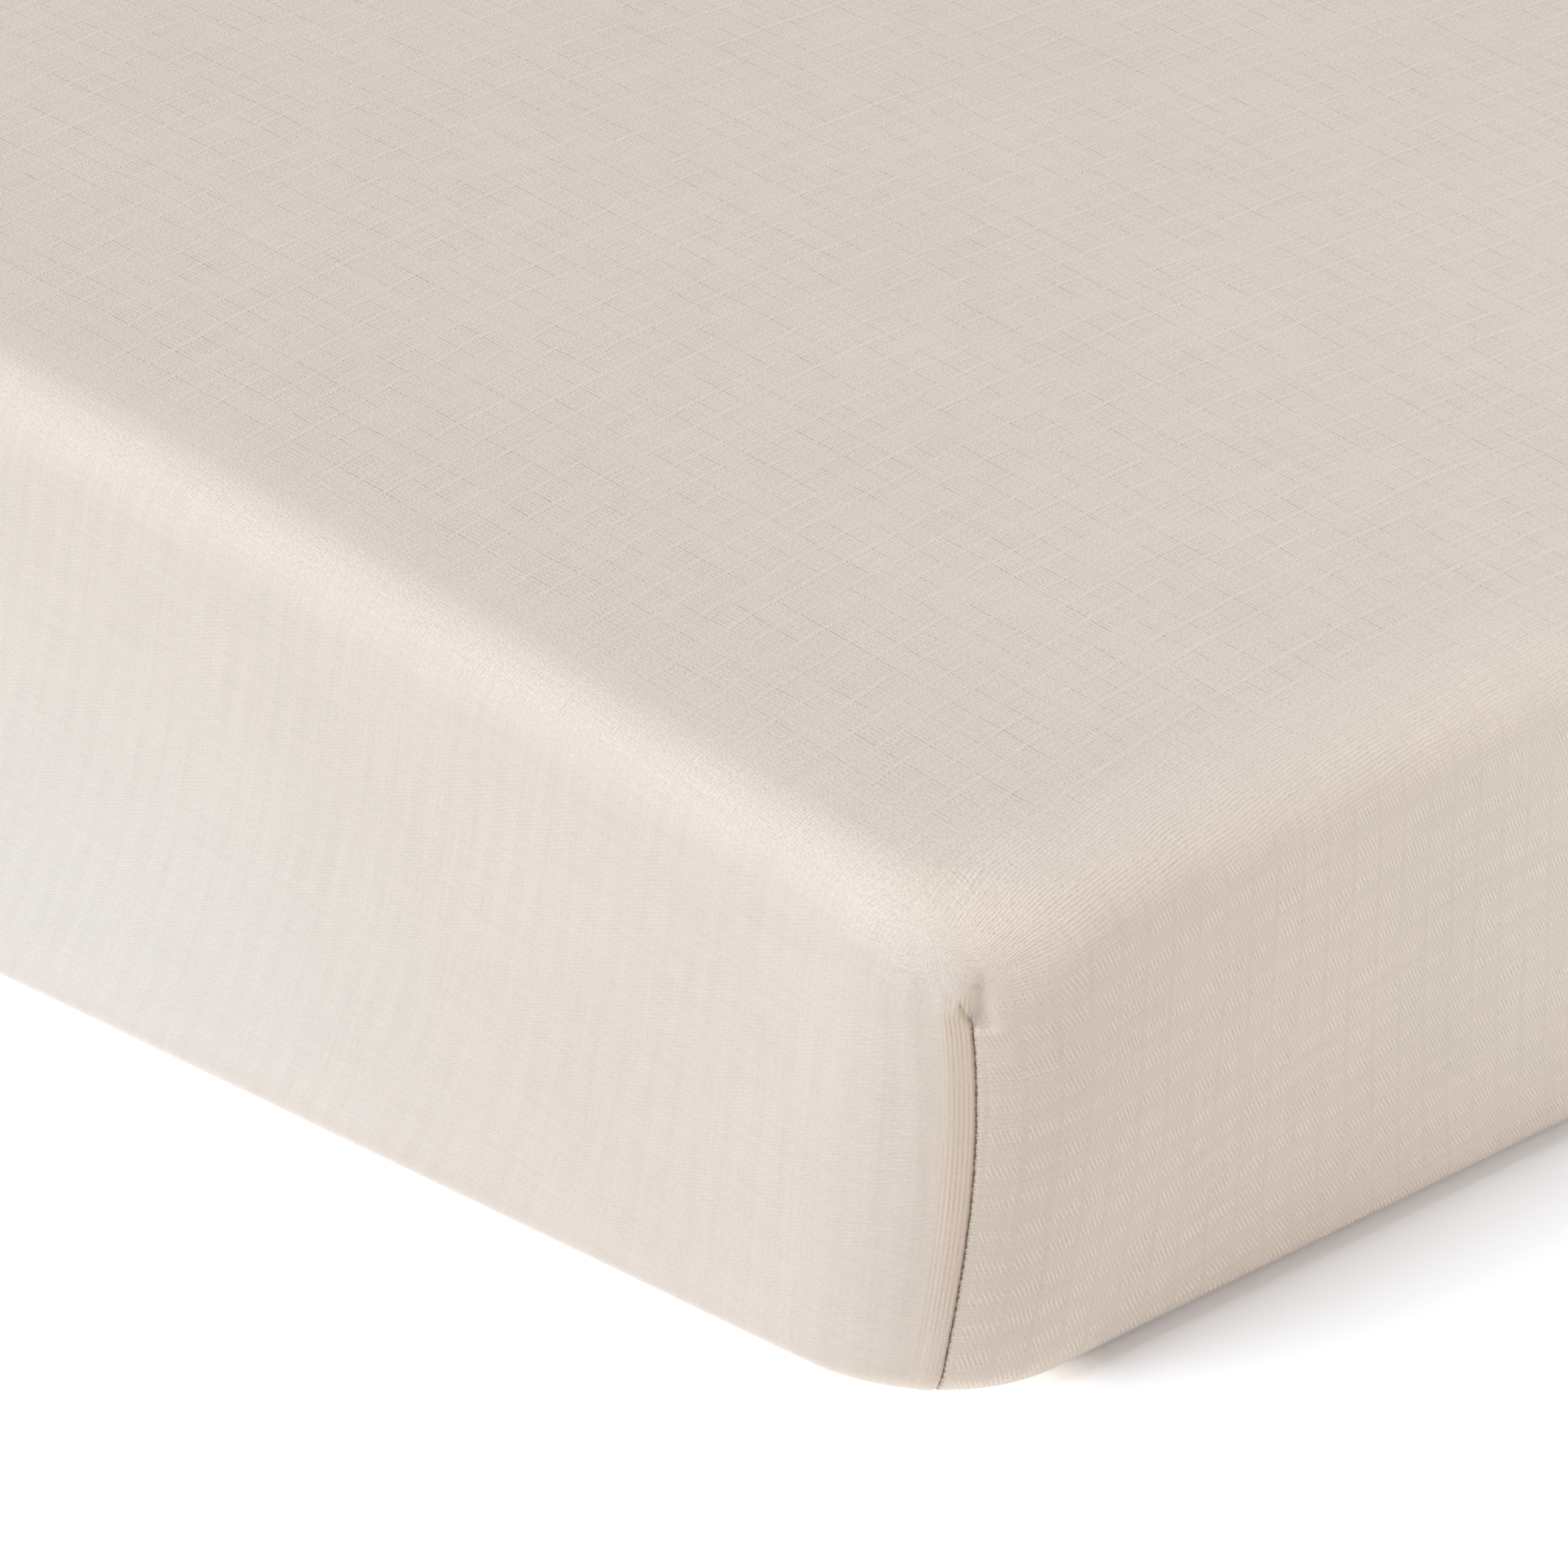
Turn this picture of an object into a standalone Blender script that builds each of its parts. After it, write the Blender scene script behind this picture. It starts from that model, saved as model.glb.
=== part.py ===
"""Fitted sheet pulled tight over a cot mattress.

Metres, +Z up. The origin is the middle of the footprint, on the surface that the part rests on.
+X runs along the long side. The sheet is one cloth shell: top, sides and a hem that turns under
the mattress. A sewn seam closes it at each of the four corners.
"""
import math

import bpy
import numpy as np

# Footprint of the covered mattress at its top and bottom folds
HALF_LENGTH = 0.598
HALF_WIDTH = 0.298
CORNER_RADIUS = 0.0345
# The sides swell a little between the folds
SIDE_BELLY = 0.002

# The tight cloth draws the corners down, so the top rises from them towards the middle
CORNER_HEIGHT = 0.0985
RISE_ALONG_LENGTH = 0.0295
RISE_REACH_LENGTH = 0.405
RISE_ALONG_WIDTH = 0.005
RISE_REACH_WIDTH = 0.245

TOP_FOLD_RADIUS = 0.015
BOTTOM_FOLD_RADIUS = 0.009
CLOTH_THICKNESS = 0.0015

# Hem under the mattress: how far it reaches inwards, and the corner radius of its opening
HEM_REACH = 0.070
HEM_CORNER_RADIUS = 0.060

# Corner seam: where it starts below the top fold, its sunk line, the raised allowance beside it
SEAM_START = 0.0095
SEAM_SINK = 0.0008
ALLOWANCE_INNER = 0.0012
ALLOWANCE_OUTER = 0.0056
ALLOWANCE_RAISE = 0.0006
# Above its start the gathered cloth makes a small knob, with a hollow on the end's side
KNOB_RAISE = 0.0014
KNOB_DROP = 0.004
KNOB_SPREAD = 0.004
HOLLOW_SINK = 0.0009
HOLLOW_RUN = 0.0075

# The mattress lies clear of the cloth, and its rounder edges clear the folds by about 2 mm
GAP = 0.0005
GAP_UNDER = 0.0003
MATTRESS_CORNER_RADIUS = 0.0385
MATTRESS_TOP_RADIUS = 0.0175
MATTRESS_BOTTOM_RADIUS = 0.0120

# Stations on the round of the corner, closest beside the seam, and beyond it from the round's end
SHEET_LONG_STEPS = (ALLOWANCE_INNER, ALLOWANCE_OUTER, 0.0075, 0.013, 0.020)
SHEET_END_STEPS = (ALLOWANCE_INNER, 0.004, HOLLOW_RUN, 0.013, 0.020)
MATTRESS_STEPS = (0.010, 0.020)
LONG_STRAIGHT_STEPS = (0.013, 0.043, 0.088, 0.148, 0.213, 0.278, 0.348, 0.418, 0.490)
END_STRAIGHT_STEPS = (0.013, 0.043, 0.088, 0.138, 0.198)
# Rows of a side: beside the start of the seam, and spread evenly below it
SEAM_ROWS = (KNOB_DROP, SEAM_START - 0.0005, SEAM_START + 0.001)
SIDE_MIDDLE_ROWS = 2
SHARP_ANGLE = math.radians(40)


def rise(distance, height, reach):
    """Height gained at a distance inwards from the edge of the top."""
    share = min(distance / reach, 1.0)
    return height * math.sin(share * math.pi / 2)


def top_height(x, y):
    along_length = rise(HALF_LENGTH - TOP_FOLD_RADIUS - abs(x), RISE_ALONG_LENGTH, RISE_REACH_LENGTH)
    along_width = rise(HALF_WIDTH - TOP_FOLD_RADIUS - abs(y), RISE_ALONG_WIDTH, RISE_REACH_WIDTH)
    return CORNER_HEIGHT + along_length + along_width


def rounded_corner(run, half_length, half_width, radius):
    """Point and outward normal on a rounded rectangle, in the quadrant where x and y are positive.

    run is the distance from the middle of the corner: positive to the end, negative to the side.
    """
    quarter = radius * math.pi / 4
    turn = max(-1.0, min(1.0, run / quarter)) * math.pi / 4
    normal = np.array([math.cos(math.pi / 4 - turn), math.sin(math.pi / 4 - turn)])
    point = np.array([half_length - radius, half_width - radius]) + radius * normal
    straight = abs(run) - quarter
    if straight > 0:
        point -= np.array([0.0, straight]) if run > 0 else np.array([straight, 0.0])
    return point, normal


def side_run(half, radius):
    """Distance from the middle of a corner to the middle of a side."""
    return radius * math.pi / 4 + half - radius


class Outline:
    """Rounded rectangle with stations at the same distances from each of its corners."""

    def __init__(self, half_length, half_width, radius, long_steps, end_steps):
        self.half_length = half_length
        self.half_width = half_width
        self.radius = radius
        quarter = radius * math.pi / 4
        long_middle = side_run(half_length, radius)
        end_middle = side_run(half_width, radius)
        long_straight = [quarter + step for step in LONG_STRAIGHT_STEPS]
        end_straight = [quarter + step for step in END_STRAIGHT_STEPS]
        self.long_runs = [0.0, *long_steps, quarter, *long_straight, long_middle]
        self.end_runs = [0.0, *end_steps, quarter, *end_straight, end_middle]
        self.long_count = 2 * (len(self.long_runs) - 1)
        self.end_count = 2 * (len(self.end_runs) - 1)
        self.stations = self.walk()

    def walk(self):
        """Stations counter-clockwise from the corner where x and y are both negative."""
        to_end = self.end_runs
        to_side = [-run for run in self.long_runs]
        stations = []
        for sign_x, sign_y, runs in (
            (-1, -1, to_side), (1, -1, to_side[-2::-1]),
            (1, -1, to_end[1:]), (1, 1, to_end[-2::-1]),
            (1, 1, to_side[1:]), (-1, 1, to_side[-2::-1]),
            (-1, 1, to_end[1:]), (-1, -1, to_end[-2:0:-1]),
        ):
            stations += [(sign_x, sign_y, run) for run in runs]
        return stations

    def place(self, station):
        sign_x, sign_y, run = station
        point, normal = rounded_corner(run, self.half_length, self.half_width, self.radius)
        sign = np.array([sign_x, sign_y])
        return point * sign, normal * sign

    def hem_place(self, station):
        """Point on the opening in the hem that belongs to a station of the outline."""
        sign_x, sign_y, run = station
        half_length = HALF_LENGTH - HEM_REACH
        half_width = HALF_WIDTH - HEM_REACH
        own = side_run(self.half_width if run > 0 else self.half_length, self.radius)
        hem = side_run(half_width if run > 0 else half_length, HEM_CORNER_RADIUS)
        point, _ = rounded_corner(run * hem / own, half_length, half_width, HEM_CORNER_RADIUS)
        return point * np.array([sign_x, sign_y])


def seam_relief(run, below):
    """How far the cloth stands out beside a corner seam, at a depth below the top fold."""
    if below < SEAM_START:
        near_knob = math.exp(-((below - KNOB_DROP) / KNOB_SPREAD) ** 2)
        knob = KNOB_RAISE * math.exp(-(run / KNOB_SPREAD) ** 2)
        hollow = HOLLOW_SINK * math.exp(-((run - HOLLOW_RUN) / KNOB_SPREAD) ** 2)
        return near_knob * (knob - hollow)
    if run == 0:
        return -SEAM_SINK
    if -ALLOWANCE_OUTER <= run < 0:
        return ALLOWANCE_RAISE
    return 0.0


def top_slope(point, normal):
    """Angle by which the top falls towards its edge, where the fold starts."""
    step = 0.001
    outer = top_height(*(point + normal * step))
    inner = top_height(*(point - normal * step))
    return math.atan2(inner - outer, 2 * step)


def section(outline, station, skin):
    """Points of one section, from the top's edge down the side to the underside."""
    point, normal = outline.place(station)
    fold = point - normal * (skin["depth"] + skin["top_radius"])
    edge_height = top_height(*fold) - skin["depth"]
    start = top_slope(fold, normal)
    section_points = []

    def add(inset, height, relief=0.0):
        plan = point - normal * (skin["depth"] + inset - relief)
        section_points.append((plan[0], plan[1], height))

    radius = skin["top_radius"]
    for share in np.linspace(0.0, 1.0, skin["top_steps"] + 1):
        angle = start + share * (math.pi / 2 - start)
        height = edge_height - radius * (1 - math.cos(angle))
        add(radius * (1 - math.sin(angle)), height)

    base = skin["floor"] + skin["bottom_radius"]
    side_top = edge_height - radius
    for below, height in side_rows(side_top, base, skin["seam_rows"]):
        swell = SIDE_BELLY * math.sin(math.pi * (side_top - height) / (side_top - base))
        relief = seam_relief(station[2], below) if skin["seam_rows"] else 0.0
        add(-swell, height, relief)

    radius = skin["bottom_radius"]
    for share in np.linspace(0.0, 1.0, skin["bottom_steps"] + 1):
        angle = share * math.pi / 2
        height = skin["floor"] + radius * (1 - math.sin(angle))
        add(radius * (1 - math.cos(angle)), height)

    if skin["hem"]:
        turn = np.array(section_points[-1][:2])
        hem = outline.hem_place(station)
        for share in (0.5, 1.0):  # halfway under, and at the opening
            plan = turn + (hem - turn) * share
            section_points.append((plan[0], plan[1], skin["floor"]))
    return section_points


def side_rows(side_top, base, seam_rows):
    """Rows of the side between its folds: depth below the top fold, and height."""
    drops = list(SEAM_ROWS) if seam_rows else []
    first = drops[-1] if drops else 0.0
    last = side_top - base
    for row in range(1, SIDE_MIDDLE_ROWS + 1):
        drops.append(first + (last - first) * row / (SIDE_MIDDLE_ROWS + 1))
    return [(below, side_top - below) for below in drops]


def top_grid(outline, edge, depth):
    """Points inside the top, blended between the four sides of its edge."""
    columns = outline.long_count
    rows = outline.end_count
    edge = np.array(edge)
    front = edge[:columns + 1]
    right = edge[columns:columns + rows + 1]
    back = edge[columns + rows:2 * columns + rows + 1][::-1]
    left = np.vstack([edge[2 * columns + rows:], edge[:1]])[::-1]
    across = share_along(outline.long_runs)
    deep = share_along(outline.end_runs)
    points = []
    for row in range(1, rows):
        v = deep[row]
        for column in range(1, columns):
            u = across[column]
            sides = (1 - v) * front[column] + v * back[column] + (1 - u) * left[row] + u * right[row]
            corners = (1 - v) * ((1 - u) * front[0] + u * front[-1]) + v * ((1 - u) * back[0] + u * back[-1])
            x, y = (sides - corners)[:2]
            points.append((x, y, top_height(x, y) - depth))
    return points


def share_along(runs):
    """Shares of a whole side at its stations, from one corner to the next."""
    total = 2 * runs[-1]
    first = [run / total for run in runs]
    return first + [1 - share for share in first[-2::-1]]


def add_skin(outline, skin, points, faces, inward):
    """Add one skin of the shell and return the indices of its last loop."""
    count = len(outline.stations)
    sections = [section(outline, station, skin) for station in outline.stations]
    loops = []
    for level in range(len(sections[0])):
        loops.append(range(len(points), len(points) + count))
        points += [line[level] for line in sections]
    new_faces = []
    for upper, lower in zip(loops, loops[1:]):
        for k in range(count):
            after = (k + 1) % count
            new_faces.append((upper[k], lower[k], lower[after], upper[after]))

    columns = outline.long_count
    rows = outline.end_count
    first_inside = len(points)
    points += top_grid(outline, [line[0] for line in sections], skin["depth"])

    def node(column, row):
        rim = loops[0]
        if row == 0:
            return rim[column]
        if column == columns:
            return rim[columns + row]
        if row == rows:
            return rim[2 * columns + rows - column]
        if column == 0:
            return rim[(2 * columns + 2 * rows - row) % count]
        return first_inside + (row - 1) * (columns - 1) + column - 1

    for row in range(rows):
        for column in range(columns):
            new_faces.append((node(column, row), node(column + 1, row),
                              node(column + 1, row + 1), node(column, row + 1)))
    if inward:
        new_faces = [face[::-1] for face in new_faces]
    faces += new_faces
    return loops[-1]


def material(name, colour, roughness):
    made = bpy.data.materials.new(name)
    made.use_nodes = True
    shader = made.node_tree.nodes["Principled BSDF"]
    shader.inputs["Base Color"].default_value = (*colour, 1.0)
    shader.inputs["Roughness"].default_value = roughness
    shader.inputs["Metallic"].default_value = 0.0
    return made


def add_object(name, points, faces, finish):
    mesh = bpy.data.meshes.new(name)
    mesh.from_pydata([tuple(float(v) for v in point) for point in points], [], faces)
    mesh.materials.append(finish)
    mesh.shade_smooth()
    mesh.set_sharp_from_angle(angle=SHARP_ANGLE)
    made = bpy.data.objects.new(name, mesh)
    bpy.context.scene.collection.objects.link(made)
    return made


def fitted_sheet():
    """One cloth shell, open under the mattress inside its hem."""
    outline = Outline(HALF_LENGTH, HALF_WIDTH, CORNER_RADIUS, SHEET_LONG_STEPS, SHEET_END_STEPS)
    outer = {
        "depth": 0.0, "floor": 0.0, "top_radius": TOP_FOLD_RADIUS, "top_steps": 4,
        "bottom_radius": BOTTOM_FOLD_RADIUS, "bottom_steps": 3, "seam_rows": True, "hem": True,
    }
    inner = {
        "depth": CLOTH_THICKNESS, "floor": CLOTH_THICKNESS,
        "top_radius": TOP_FOLD_RADIUS - CLOTH_THICKNESS, "top_steps": 3,
        "bottom_radius": BOTTOM_FOLD_RADIUS - CLOTH_THICKNESS, "bottom_steps": 2,
        "seam_rows": False, "hem": True,
    }
    points = []
    faces = []
    outside = add_skin(outline, outer, points, faces, inward=False)
    inside = add_skin(outline, inner, points, faces, inward=True)
    count = len(outline.stations)
    for k in range(count):
        after = (k + 1) % count
        faces.append((outside[k], inside[k], inside[after], outside[after]))
    return add_object("fitted_sheet", points, faces, material("muslin", (0.68, 0.60, 0.53), 0.9))


def mattress():
    """Plain mattress that the sheet fits over, in one closed piece."""
    depth = CLOTH_THICKNESS + GAP
    outline = Outline(HALF_LENGTH, HALF_WIDTH, MATTRESS_CORNER_RADIUS, MATTRESS_STEPS, MATTRESS_STEPS)
    skin = {
        "depth": depth, "floor": CLOTH_THICKNESS + GAP_UNDER,
        "top_radius": MATTRESS_TOP_RADIUS, "top_steps": 3,
        "bottom_radius": MATTRESS_BOTTOM_RADIUS, "bottom_steps": 2, "seam_rows": False, "hem": False,
    }
    points = []
    faces = []
    rim = add_skin(outline, skin, points, faces, inward=False)
    faces.append(tuple(rim)[::-1])
    return add_object("mattress", points, faces, material("ticking", (0.82, 0.81, 0.78), 0.85))


for leftover in list(bpy.data.objects):
    bpy.data.objects.remove(leftover)
mattress()
fitted_sheet()
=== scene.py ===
"""Fitted sheet of sand muslin, pulled tight over a cot mattress.

Metres, +Z up, +X along the long side. The sections follow the object as it is put together: the
mattress, the sheet that is cut and pulled over it, its seams and its hem, then floor and light.
"""
import math

import bpy
import numpy as np
from mathutils import Matrix, Vector


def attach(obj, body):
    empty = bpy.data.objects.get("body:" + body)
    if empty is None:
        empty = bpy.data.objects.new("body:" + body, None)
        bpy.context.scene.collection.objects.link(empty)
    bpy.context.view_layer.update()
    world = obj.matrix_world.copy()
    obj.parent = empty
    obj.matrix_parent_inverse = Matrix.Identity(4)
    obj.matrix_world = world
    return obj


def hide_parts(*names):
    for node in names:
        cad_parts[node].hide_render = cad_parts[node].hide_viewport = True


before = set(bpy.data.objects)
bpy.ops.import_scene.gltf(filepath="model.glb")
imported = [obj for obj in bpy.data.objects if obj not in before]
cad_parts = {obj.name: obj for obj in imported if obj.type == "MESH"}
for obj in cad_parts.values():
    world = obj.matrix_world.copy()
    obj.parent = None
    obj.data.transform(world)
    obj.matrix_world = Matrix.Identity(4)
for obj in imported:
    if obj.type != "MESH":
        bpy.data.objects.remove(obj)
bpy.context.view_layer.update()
scene = bpy.context.scene


# ---- Viewpoint: a long lens looks down on the near corner, from the end's side, tilted a little ----
# Its angles follow the picture's upright seam and its two lower edges, which run nearly parallel
# to the far ones.
IMAGE_WIDTH_PX = 1932
LENS_PX = 14000.0
SENSOR_MM = 36.0
VIEW_AZIMUTH = math.radians(38.97)
VIEW_ELEVATION = math.radians(25.06)
VIEW_ROLL = math.radians(4.95)
VIEW_DISTANCE = LENS_PX / 6690.0  # one millimetre at the near corner is 6.69 px wide
VIEW_TARGET = Vector((0.48131, -0.21295, 0.0600))

view_back = Vector((
    math.sin(VIEW_AZIMUTH) * math.cos(VIEW_ELEVATION),
    -math.cos(VIEW_AZIMUTH) * math.cos(VIEW_ELEVATION),
    math.sin(VIEW_ELEVATION),
))
view_right = Vector((math.cos(VIEW_AZIMUTH), math.sin(VIEW_AZIMUTH), 0.0))
view_up = view_back.cross(view_right)
rolled_right = math.cos(VIEW_ROLL) * view_right + math.sin(VIEW_ROLL) * view_up
rolled_up = -math.sin(VIEW_ROLL) * view_right + math.cos(VIEW_ROLL) * view_up

camera_data = bpy.data.cameras.new("camera")
camera_data.sensor_width = SENSOR_MM
camera_data.lens = LENS_PX * SENSOR_MM / IMAGE_WIDTH_PX
camera = bpy.data.objects.new("camera", camera_data)
scene.collection.objects.link(camera)
turned = Matrix((rolled_right, rolled_up, view_back)).transposed().to_4x4()
turned.translation = VIEW_TARGET + view_back * VIEW_DISTANCE
camera.matrix_world = turned
scene.camera = camera


# ---- Mattress: a foam core in a plain woven cotton cover, under the sheet ----
# The frame's own solid has its shape. Only the opening inside the hem shows it.
TICKING_CREAM = "#e4e1d8"
TICKING_SHADE = "#d2cec3"
TICKING_THREAD_MM = 0.9  # coarser than the real thread, so that it shows


def linear(hex_colour):
    """Linear RGBA of an sRGB hex colour."""
    channels = [int(hex_colour[i:i + 2], 16) / 255 for i in (1, 3, 5)]
    return (*[c / 12.92 if c <= 0.04045 else ((c + 0.055) / 1.055) ** 2.4 for c in channels], 1.0)


def new_finish(name, roughness):
    """A material with its Principled shader."""
    finish = bpy.data.materials.new(name)
    finish.use_nodes = True
    shader = finish.node_tree.nodes["Principled BSDF"]
    shader.inputs["Roughness"].default_value = roughness
    return finish, shader


def add_node(tree, kind, inputs=(), **settings):
    """Outputs of a new node. inputs gives each socket a value, or the socket that feeds it."""
    node = tree.nodes.new(kind)
    for name, value in settings.items():
        setattr(node, name, value)
    for socket, value in dict(inputs).items():
        if isinstance(value, bpy.types.NodeSocket):
            tree.links.new(value, node.inputs[socket])
        else:
            node.inputs[socket].default_value = value
    return node.outputs


# Woven cotton ticking: matt, with an even fine check of threads that catch the light a little
ticking, ticking_shader = new_finish("woven_cotton_ticking", roughness=0.85)
tree = ticking.node_tree
place = add_node(tree, "ShaderNodeTexCoord")["Object"]
threads = [
    add_node(tree, "ShaderNodeTexWave", {
        "Vector": place, "Scale": 1000 / (TICKING_THREAD_MM * 20), "Distortion": 0.6,
        "Detail": 1.0, "Detail Scale": 3.0,
    }, bands_direction=axis)["Fac"]
    for axis in ("X", "Y")
]
check = add_node(tree, "ShaderNodeMath", {0: threads[0], 1: threads[1]}, operation="MULTIPLY")[0]
cream = add_node(tree, "ShaderNodeMix", {
    "Factor": check, "A": linear(TICKING_SHADE), "B": linear(TICKING_CREAM),
}, data_type="RGBA")["Result"]
relief = add_node(tree, "ShaderNodeBump", {"Height": check, "Strength": 0.5, "Distance": 0.0002})["Normal"]
tree.links.new(cream, ticking_shader.inputs["Base Color"])
tree.links.new(relief, ticking_shader.inputs["Normal"])
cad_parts["mattress"].data.materials.clear()
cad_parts["mattress"].data.materials.append(ticking)


# ---- Sheet: one piece of muslin, cut with a square out of each corner, sewn and pulled tight ----
# Top, sides and the hem turned under the mattress are one cloth.
HALF_LENGTH = 0.598
HALF_WIDTH = 0.298
CORNER_RADIUS = 0.0345
SIDE_BELLY = 0.002
CORNER_HEIGHT = 0.0985
RISE_ALONG_LENGTH = 0.0295
RISE_REACH_LENGTH = 0.405
RISE_ALONG_WIDTH = 0.005
RISE_REACH_WIDTH = 0.245
TOP_FOLD_RADIUS = 0.015
BOTTOM_FOLD_RADIUS = 0.009
CLOTH_THICKNESS = 0.0015
HEM_REACH = 0.070
HEM_CORNER_RADIUS = 0.060
SEAM_START = 0.0095  # below the top fold

# The seam bows out towards the end by this much, halfway down the corner
SEAM_BOW = 0.0029
BOW_START = 0.0075
BOW_LENGTH = 0.086
BOW_SHAPE = 0.75
BOW_SPREAD = 0.022

# Lines across the cloth, closest at the seam, and rows down it
SEAM_SPACING = 0.00035
SPACING_GROWTH = 0.07
WIDEST_SPACING = 0.030
TOP_FOLD_ROWS = 10
SEAM_TOP_ROWS = 24
SEAM_TOP_REACH = 0.013
SIDE_ROWS = 15
BOTTOM_FOLD_ROWS = 6
HEM_ROWS = 8
# Rings inside the top's edge, until its corners are square
TOP_RINGS = 7
TOP_RING_REACH = 0.060


def smooth(value):
    """Smooth step from 0 to 1."""
    value = np.clip(value, 0.0, 1.0)
    return value * value * (3 - 2 * value)


def grown_steps(total, start, growth, widest):
    """Distances from 0 to total whose gaps grow from start."""
    steps = [0.0]
    while steps[-1] < total:
        steps.append(steps[-1] + min(start + growth * steps[-1], widest))
    return np.array(steps) * total / steps[-1]


def rise(distance, height, reach):
    """Height gained at a distance inwards from the edge of the top."""
    return height * np.sin(np.minimum(distance / reach, 1.0) * np.pi / 2)


def top_height(x, y):
    along_length = rise(HALF_LENGTH - TOP_FOLD_RADIUS - np.abs(x), RISE_ALONG_LENGTH, RISE_REACH_LENGTH)
    along_width = rise(HALF_WIDTH - TOP_FOLD_RADIUS - np.abs(y), RISE_ALONG_WIDTH, RISE_REACH_WIDTH)
    return CORNER_HEIGHT + along_length + along_width


def rounded_corner(run, half_length, half_width, radius):
    """Points and outward normals on a rounded rectangle's quadrant where x and y are positive.

    run is the distance from the middle of the corner: positive to the end, negative to the side.
    """
    quarter = radius * np.pi / 4
    turn = np.clip(run / quarter, -1, 1) * np.pi / 4
    normal = np.stack([np.cos(np.pi / 4 - turn), np.sin(np.pi / 4 - turn)], -1)
    point = np.array([half_length - radius, half_width - radius]) + radius * normal
    straight = np.maximum(np.abs(run) - quarter, 0.0)
    point -= np.stack([straight * (run < 0), straight * (run > 0)], -1)
    return point, normal


def side_run(half, radius):
    """Distance from the middle of a corner to the middle of a side."""
    return radius * math.pi / 4 + half - radius


long_half = side_run(HALF_LENGTH, CORNER_RADIUS)
end_half = side_run(HALF_WIDTH, CORNER_RADIUS)
long_steps = grown_steps(long_half, SEAM_SPACING, SPACING_GROWTH, WIDEST_SPACING)
end_steps = grown_steps(end_half, SEAM_SPACING, SPACING_GROWTH, WIDEST_SPACING)
# Lines down the cloth, counter-clockwise from the corner where x and y are both negative
lines = []
for sign_x, sign_y, runs in (
    (-1, -1, -long_steps), (1, -1, -long_steps[-2::-1]),
    (1, -1, end_steps[1:]), (1, 1, end_steps[-2::-1]),
    (1, 1, -long_steps[1:]), (-1, 1, -long_steps[-2::-1]),
    (-1, 1, end_steps[1:]), (-1, -1, end_steps[-2:0:-1]),
):
    lines += [(sign_x, sign_y, run) for run in runs]
signs = np.array([line[:2] for line in lines], float)
line_runs = np.array([line[2] for line in lines])
long_count = 2 * (len(long_steps) - 1)
end_count = 2 * (len(end_steps) - 1)
count = len(lines)


def seam_bow(run, below):
    """How far a point beside the seam moves towards the end, in metres."""
    share = np.clip((below - BOW_START) / BOW_LENGTH, 0.0, 1.0)
    return SEAM_BOW * np.sin(np.pi * share ** BOW_SHAPE) * np.exp(-(run / BOW_SPREAD) ** 2)


# Creases that the pull of the cloth leaves at a corner: from and to (run, depth below the fold),
# half width and height, in millimetres. A positive height is a soft ridge.
CREASES = (
    # run, below, run, below, width, height
    (-3.4, 0.5, -1.8, 4.5, 2.6, 0.75),    # knob of gathered cloth above the seam
    (1.5, 2.0, 2.9, 8.0, 1.6, -0.8),      # hollow beside it, on the end's side
    (-6.0, 0.6, -3.4, 4.2, 0.5, -0.4),    # crease where the allowance begins
    (-1.9, 4.9, 0.4, 8.8, 0.45, -0.8),    # opening of the seam
    (-14.0, -12.0, -7.5, 4.0, 1.8, -0.25),  # dip from the top to the knob
    (-20.2, -7.0, -15.2, 41.0, 0.9, 0.12),  # two long soft folds down the long side
    (-12.4, -9.0, -8.4, 46.0, 0.8, 0.13),
    (1.2, 10.5, 6.5, 9.0, 0.8, 0.22),     # three pulls away from the seam, on the end
    (1.6, 14.0, 7.5, 13.0, 0.9, 0.16),
    (1.8, 19.0, 6.5, 18.5, 0.9, 0.13),
)
SEAM_SINK = 0.0006
SEAM_GROOVE = 0.0004
SEAM_ONSET = 0.002
ALLOWANCE_WIDTH = 0.0056
ALLOWANCE_TAPER = 0.020  # its width is lost over this share of the depth
ALLOWANCE_RAISE = 0.0003
ALLOWANCE_TOP = 0.0035
ALLOWANCE_ONSET = 0.003
ALLOWANCE_EDGE_START = 0.0004  # its slopes: one begins beyond its cut edge, one beside the seam
ALLOWANCE_EDGE_WIDTH = 0.0014
ALLOWANCE_ROLL_START = 0.0001
ALLOWANCE_ROLL_WIDTH = 0.0006


def corner_relief(run, below):
    """How far the cloth stands out around a corner seam, in metres."""
    relief = np.zeros(np.broadcast(run, below).shape)
    for run_a, below_a, run_b, below_b, width, height in np.array(CREASES) / 1000:
        along_run = run_b - run_a
        along_below = below_b - below_a
        share = (run - run_a) * along_run + (below - below_a) * along_below
        share = np.clip(share / (along_run ** 2 + along_below ** 2), 0.0, 1.0)
        away = np.hypot(run - run_a - share * along_run, below - below_a - share * along_below)
        relief += height * np.exp(-(away / width) ** 2)
    seam = smooth((below - SEAM_START + SEAM_ONSET / 2) / SEAM_ONSET)
    relief -= seam * SEAM_SINK * np.exp(-(run / SEAM_GROOVE) ** 2)
    width = ALLOWANCE_WIDTH - ALLOWANCE_TAPER * np.maximum(below, 0.0)
    band = smooth((run + width + ALLOWANCE_EDGE_START) / ALLOWANCE_EDGE_WIDTH)
    band *= smooth(-(run + ALLOWANCE_ROLL_START) / ALLOWANCE_ROLL_WIDTH)
    relief += band * ALLOWANCE_RAISE * smooth((below - ALLOWANCE_TOP) / ALLOWANCE_ONSET)
    return relief


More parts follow.
